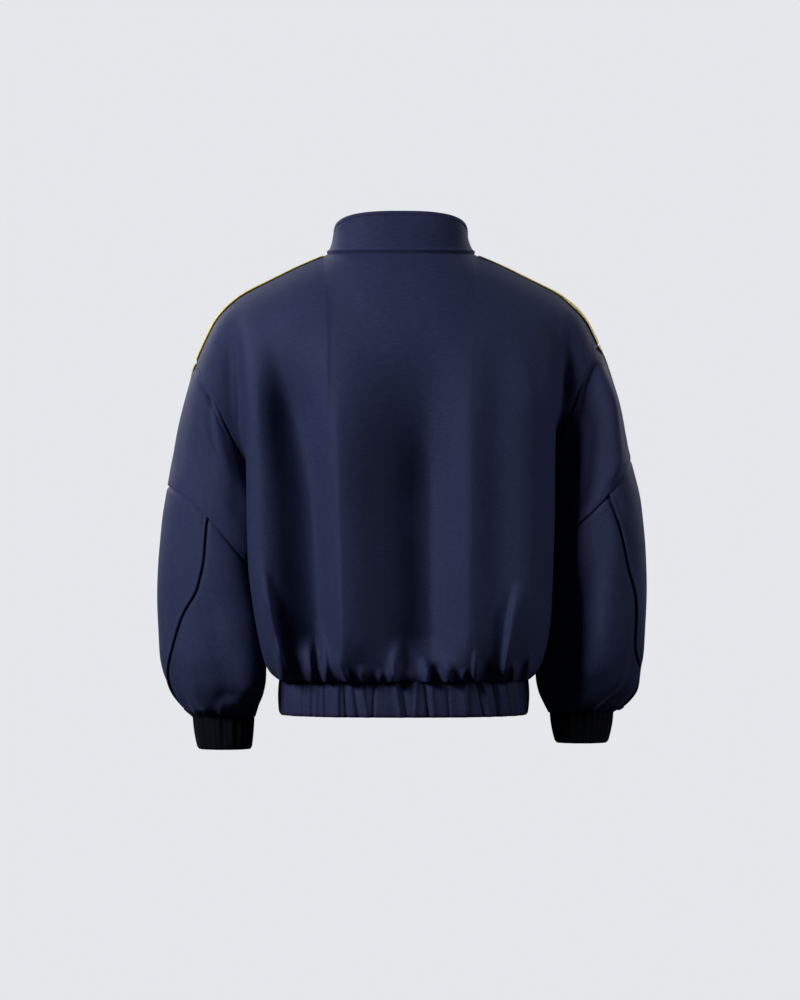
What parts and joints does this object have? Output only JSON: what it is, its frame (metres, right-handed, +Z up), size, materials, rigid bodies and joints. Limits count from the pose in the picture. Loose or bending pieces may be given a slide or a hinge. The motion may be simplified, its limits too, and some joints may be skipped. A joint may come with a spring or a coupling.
{
  "type": "track jacket",
  "caption": "Cropped, oversized navy zip jacket in heavy knit with dropped shoulders, stand collar, balloon sleeves, gathered hem and cuffs, and a yellow shoulder tape.",
  "frame": {"origin": "middle of the neck opening at the height of the neck seam, where the wearer's neck and shoulders hold the jacket up", "axes": "+Z up from the hem to the collar; +Y towards the back panel, the front zip faces -Y; +X towards the wearer's left"},
  "size_m": [0.6105, 0.2732, 0.669],
  "materials": {
    "navy_knit": "smooth heavy double knit with a soft sheen",
    "dark_rib": "near-black navy knit, gathered",
    "yellow_tape": "woven yellow tape",
    "zip_tape": "woven navy zip tape",
    "dark_nickel": "satin dark nickel"
  },
  "bodies": {
    "jacket": {"back_panel": "navy_knit", "front_left": "navy_knit", "front_right": "navy_knit", "sleeve_upper_left": "navy_knit", "sleeve_upper_right": "navy_knit", "sleeve_outer_left": "navy_knit", "sleeve_outer_right": "navy_knit", "sleeve_under_left": "navy_knit", "sleeve_under_right": "navy_knit", "hem_band": "navy_knit", "collar": "navy_knit", "cuff_left": "dark_rib", "cuff_right": "dark_rib", "shoulder_stripe_left": "yellow_tape", "shoulder_stripe_right": "yellow_tape", "sleeve_stripe_left": "yellow_tape", "sleeve_stripe_right": "yellow_tape", "zip_tape_left": "zip_tape", "zip_tape_right": "zip_tape", "zip_chain": "dark_nickel", "zip_bottom_stop": "dark_nickel", "zip_slider": "dark_nickel"},
    "pull_tab": {"zip_pull_tab": "dark_nickel"}
  },
  "joints": [
    {"name": "pull_tab_swing", "type": "hinge", "parent": "jacket", "child": "pull_tab", "pos_m": [0, -0.0845, -0.012], "axis": [-1, 0, 0], "range_deg": [0, 170]}
  ]
}
